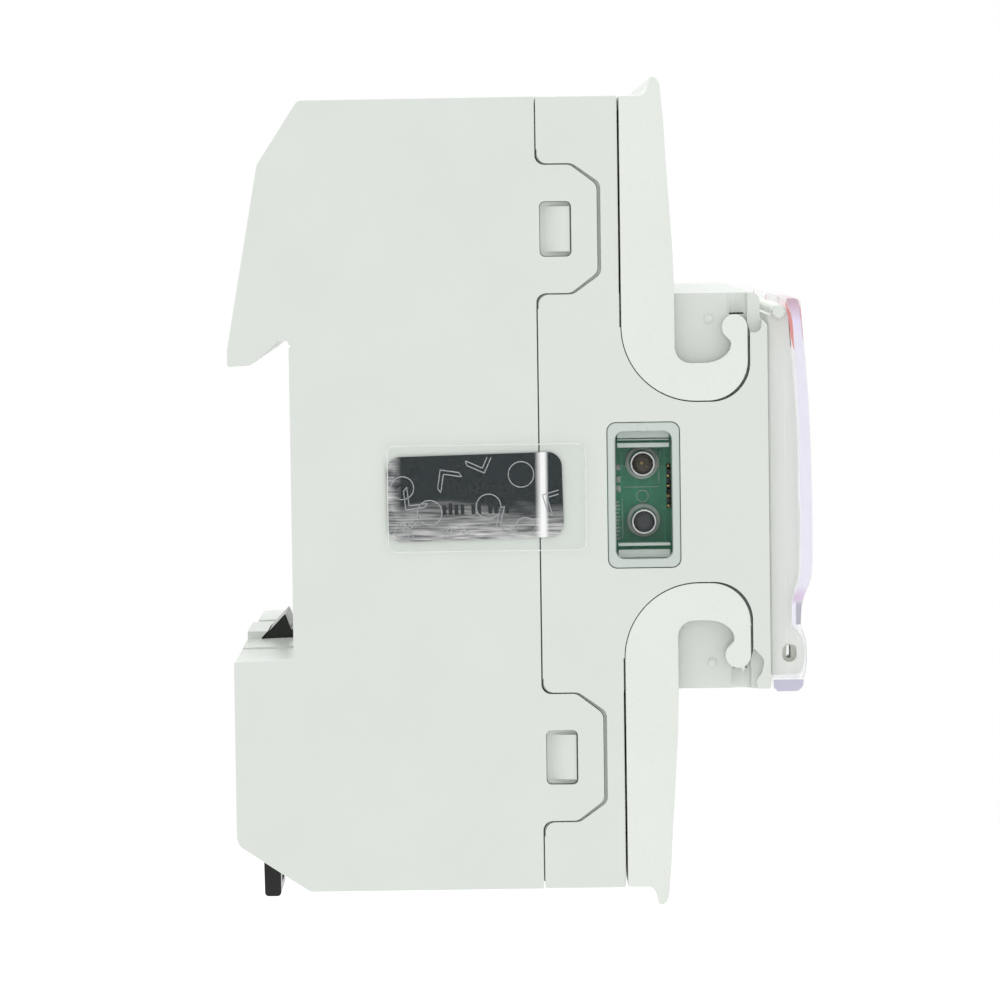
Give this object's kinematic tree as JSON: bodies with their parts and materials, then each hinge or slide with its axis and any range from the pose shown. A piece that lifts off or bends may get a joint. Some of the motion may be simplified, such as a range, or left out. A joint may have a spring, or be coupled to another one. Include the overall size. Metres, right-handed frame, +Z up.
{
  "type": "din rail electricity meter",
  "caption": "Four-module DIN-rail electricity meter with hinged terminal covers, a clear front flap, a side infrared window and a sliding rail clip.",
  "frame": {"origin": "middle of the flat back wall that rests on the rail, at half the width and at the rail's middle height", "axes": "+Y from the meter's front to its back, into the rail, so the front faces -Y; +X to the right seen from the front; +Z up"},
  "size_m": [0.0726, 0.0661, 0.0966],
  "materials": {
    "body_plastic": "fine satin moulded light grey",
    "cover_plastic": "fine satin moulded light grey, slightly lighter",
    "faceplate_plastic": "satin moulded",
    "clear_plastic": "clear moulded polycarbonate",
    "clip_plastic": "satin moulded black",
    "button_plastic": "satin moulded grey",
    "white_plastic": "satin",
    "dark_plastic": "satin",
    "red_plastic": "clear red moulded",
    "printed_film": "printed film, semi-matt",
    "metal_foil": "embossed bright foil",
    "lcd_glass": "polished glass with a grey-green cell",
    "board_green": "solder resist over glass fibre",
    "diode_clear": "clear epoxy",
    "diode_dark": "dark tinted epoxy",
    "dark_sleeve": "shrink sleeve",
    "ferrite": "pressed ferrite with a taped winding",
    "blue_coating": "epoxy-coated core",
    "copper": "bare rolled copper",
    "zinc_steel": "zinc plated",
    "spring_steel": "drawn wire"
  },
  "bodies": {
    "housing": {"base_housing": "body_plastic", "front_cover": "body_plastic", "faceplate": "faceplate_plastic", "front_label": "printed_film", "display_window": "clear_plastic", "lcd_panel": "lcd_glass", "lcd_holder": "white_plastic", "display_board": "board_green", "pulse_lamp_lens": "red_plastic", "optical_window": "clear_plastic", "calibration_label": "metal_foil", "label_overlay": "clear_plastic", "optical_board": "board_green", "infrared_emitter": "diode_clear", "infrared_receiver": "diode_dark", "metering_board": "board_green", "supply_transformer": "ferrite", "smoothing_capacitor": "dark_sleeve", "board_connector": "dark_plastic", "conductor_l1": "copper", "conductor_l2": "copper", "conductor_l3": "copper", "conductor_neutral": "copper", "current_transformer_l1": "blue_coating", "current_transformer_l2": "blue_coating", "current_transformer_l3": "blue_coating", "data_terminal_block": "dark_plastic", "clip_spring": "spring_steel"},
    "upper_cover": {"upper_terminal_cover": "cover_plastic"},
    "lower_cover": {"lower_terminal_cover": "cover_plastic"},
    "flap": {"front_flap": "clear_plastic"},
    "left_button": {"scroll_button_left": "button_plastic"},
    "right_button": {"scroll_button_right": "button_plastic"},
    "clip": {"rail_clip": "clip_plastic"},
    "screw_top_l1": {"terminal_screw_top_l1": "zinc_steel"},
    "cage_top_l1": {"terminal_cage_top_l1": "zinc_steel"},
    "screw_top_l2": {"terminal_screw_top_l2": "zinc_steel"},
    "cage_top_l2": {"terminal_cage_top_l2": "zinc_steel"},
    "screw_top_l3": {"terminal_screw_top_l3": "zinc_steel"},
    "cage_top_l3": {"terminal_cage_top_l3": "zinc_steel"},
    "screw_top_neutral": {"terminal_screw_top_neutral": "zinc_steel"},
    "cage_top_neutral": {"terminal_cage_top_neutral": "zinc_steel"},
    "screw_bottom_l1": {"terminal_screw_bottom_l1": "zinc_steel"},
    "cage_bottom_l1": {"terminal_cage_bottom_l1": "zinc_steel"},
    "screw_bottom_l2": {"terminal_screw_bottom_l2": "zinc_steel"},
    "cage_bottom_l2": {"terminal_cage_bottom_l2": "zinc_steel"},
    "screw_bottom_l3": {"terminal_screw_bottom_l3": "zinc_steel"},
    "cage_bottom_l3": {"terminal_cage_bottom_l3": "zinc_steel"},
    "screw_bottom_neutral": {"terminal_screw_bottom_neutral": "zinc_steel"},
    "cage_bottom_neutral": {"terminal_cage_bottom_neutral": "zinc_steel"},
    "data_screw_1": {"data_screw_1": "zinc_steel"},
    "data_screw_2": {"data_screw_2": "zinc_steel"},
    "data_screw_3": {"data_screw_3": "zinc_steel"},
    "data_screw_4": {"data_screw_4": "zinc_steel"}
  },
  "joints": [
    {"name": "upper_cover_hinge", "type": "hinge", "parent": "housing", "child": "upper_cover", "pos_m": [0, -0.0505, 0.0186], "axis": [1, 0, 0], "range_deg": [0, 90]},
    {"name": "lower_cover_hinge", "type": "hinge", "parent": "housing", "child": "lower_cover", "pos_m": [0, -0.0505, -0.0186], "axis": [-1, 0, 0], "range_deg": [0, 90]},
    {"name": "front_flap_hinge", "type": "hinge", "parent": "housing", "child": "flap", "pos_m": [0, -0.0555, 0.0203], "axis": [-1, 0, 0], "range_deg": [0, 90]},
    {"name": "left_button_press", "type": "slide", "parent": "housing", "child": "left_button", "axis": [0, 1, 0], "range_m": [0, 0.0004], "stiffness_N_per_m": 500, "springref_m": -0.0003},
    {"name": "right_button_press", "type": "slide", "parent": "housing", "child": "right_button", "axis": [0, 1, 0], "range_m": [0, 0.0004], "stiffness_N_per_m": 500, "springref_m": -0.0003},
    {"name": "rail_clip_slide", "type": "slide", "parent": "housing", "child": "clip", "axis": [0, 0, -1], "range_m": [0, 0.004], "stiffness_N_per_m": 2000, "springref_m": -0.001, "deforming": ["clip_spring"]},
    {"name": "cage_slide_top_l1", "type": "slide", "parent": "housing", "child": "cage_top_l1", "axis": [0, -1, 0], "range_m": [0, 0.005]},
    {"name": "screw_turn_top_l1", "type": "hinge", "parent": "housing", "child": "screw_top_l1", "pos_m": [-0.0255, -0.0344, 0.0365], "axis": [0, 1, 0], "range_deg": [0, 2251]},
    {"name": "cage_slide_top_l2", "type": "slide", "parent": "housing", "child": "cage_top_l2", "axis": [0, -1, 0], "range_m": [0, 0.005]},
    {"name": "screw_turn_top_l2", "type": "hinge", "parent": "housing", "child": "screw_top_l2", "pos_m": [-0.0085, -0.0344, 0.0365], "axis": [0, 1, 0], "range_deg": [0, 2251]},
    {"name": "cage_slide_top_l3", "type": "slide", "parent": "housing", "child": "cage_top_l3", "axis": [0, -1, 0], "range_m": [0, 0.005]},
    {"name": "screw_turn_top_l3", "type": "hinge", "parent": "housing", "child": "screw_top_l3", "pos_m": [0.0085, -0.0344, 0.0365], "axis": [0, 1, 0], "range_deg": [0, 2251]},
    {"name": "cage_slide_top_neutral", "type": "slide", "parent": "housing", "child": "cage_top_neutral", "axis": [0, -1, 0], "range_m": [0, 0.005]},
    {"name": "screw_turn_top_neutral", "type": "hinge", "parent": "housing", "child": "screw_top_neutral", "pos_m": [0.0255, -0.0344, 0.0365], "axis": [0, 1, 0], "range_deg": [0, 2251]},
    {"name": "cage_slide_bottom_l1", "type": "slide", "parent": "housing", "child": "cage_bottom_l1", "axis": [0, -1, 0], "range_m": [0, 0.005]},
    {"name": "screw_turn_bottom_l1", "type": "hinge", "parent": "housing", "child": "screw_bottom_l1", "pos_m": [-0.0255, -0.0344, -0.0365], "axis": [0, 1, 0], "range_deg": [0, 2251]},
    {"name": "cage_slide_bottom_l2", "type": "slide", "parent": "housing", "child": "cage_bottom_l2", "axis": [0, -1, 0], "range_m": [0, 0.005]},
    {"name": "screw_turn_bottom_l2", "type": "hinge", "parent": "housing", "child": "screw_bottom_l2", "pos_m": [-0.0085, -0.0344, -0.0365], "axis": [0, 1, 0], "range_deg": [0, 2251]},
    {"name": "cage_slide_bottom_l3", "type": "slide", "parent": "housing", "child": "cage_bottom_l3", "axis": [0, -1, 0], "range_m": [0, 0.005]},
    {"name": "screw_turn_bottom_l3", "type": "hinge", "parent": "housing", "child": "screw_bottom_l3", "pos_m": [0.0085, -0.0344, -0.0365], "axis": [0, 1, 0], "range_deg": [0, 2251]},
    {"name": "cage_slide_bottom_neutral", "type": "slide", "parent": "housing", "child": "cage_bottom_neutral", "axis": [0, -1, 0], "range_m": [0, 0.005]},
    {"name": "screw_turn_bottom_neutral", "type": "hinge", "parent": "housing", "child": "screw_bottom_neutral", "pos_m": [0.0255, -0.0344, -0.0365], "axis": [0, 1, 0], "range_deg": [0, 2251]},
    {"name": "data_screw_turn_1", "type": "hinge", "parent": "housing", "child": "data_screw_1", "pos_m": [-0.0075, -0.0398, -0.0262], "axis": [0, 1, 0], "range_deg": [0, 1080]},
    {"name": "data_screw_turn_2", "type": "hinge", "parent": "housing", "child": "data_screw_2", "pos_m": [-0.0025, -0.0398, -0.0262], "axis": [0, 1, 0], "range_deg": [0, 1080]},
    {"name": "data_screw_turn_3", "type": "hinge", "parent": "housing", "child": "data_screw_3", "pos_m": [0.0025, -0.0398, -0.0262], "axis": [0, 1, 0], "range_deg": [0, 1080]},
    {"name": "data_screw_turn_4", "type": "hinge", "parent": "housing", "child": "data_screw_4", "pos_m": [0.0075, -0.0398, -0.0262], "axis": [0, 1, 0], "range_deg": [0, 1080]}
  ],
  "couplings": [
    {"joint": "screw_turn_top_l1", "follows": "cage_slide_top_l1", "rad_per_m": 7854},
    {"joint": "screw_turn_top_l2", "follows": "cage_slide_top_l2", "rad_per_m": 7854},
    {"joint": "screw_turn_top_l3", "follows": "cage_slide_top_l3", "rad_per_m": 7854},
    {"joint": "screw_turn_top_neutral", "follows": "cage_slide_top_neutral", "rad_per_m": 7854},
    {"joint": "screw_turn_bottom_l1", "follows": "cage_slide_bottom_l1", "rad_per_m": 7854},
    {"joint": "screw_turn_bottom_l2", "follows": "cage_slide_bottom_l2", "rad_per_m": 7854},
    {"joint": "screw_turn_bottom_l3", "follows": "cage_slide_bottom_l3", "rad_per_m": 7854},
    {"joint": "screw_turn_bottom_neutral", "follows": "cage_slide_bottom_neutral", "rad_per_m": 7854}
  ]
}
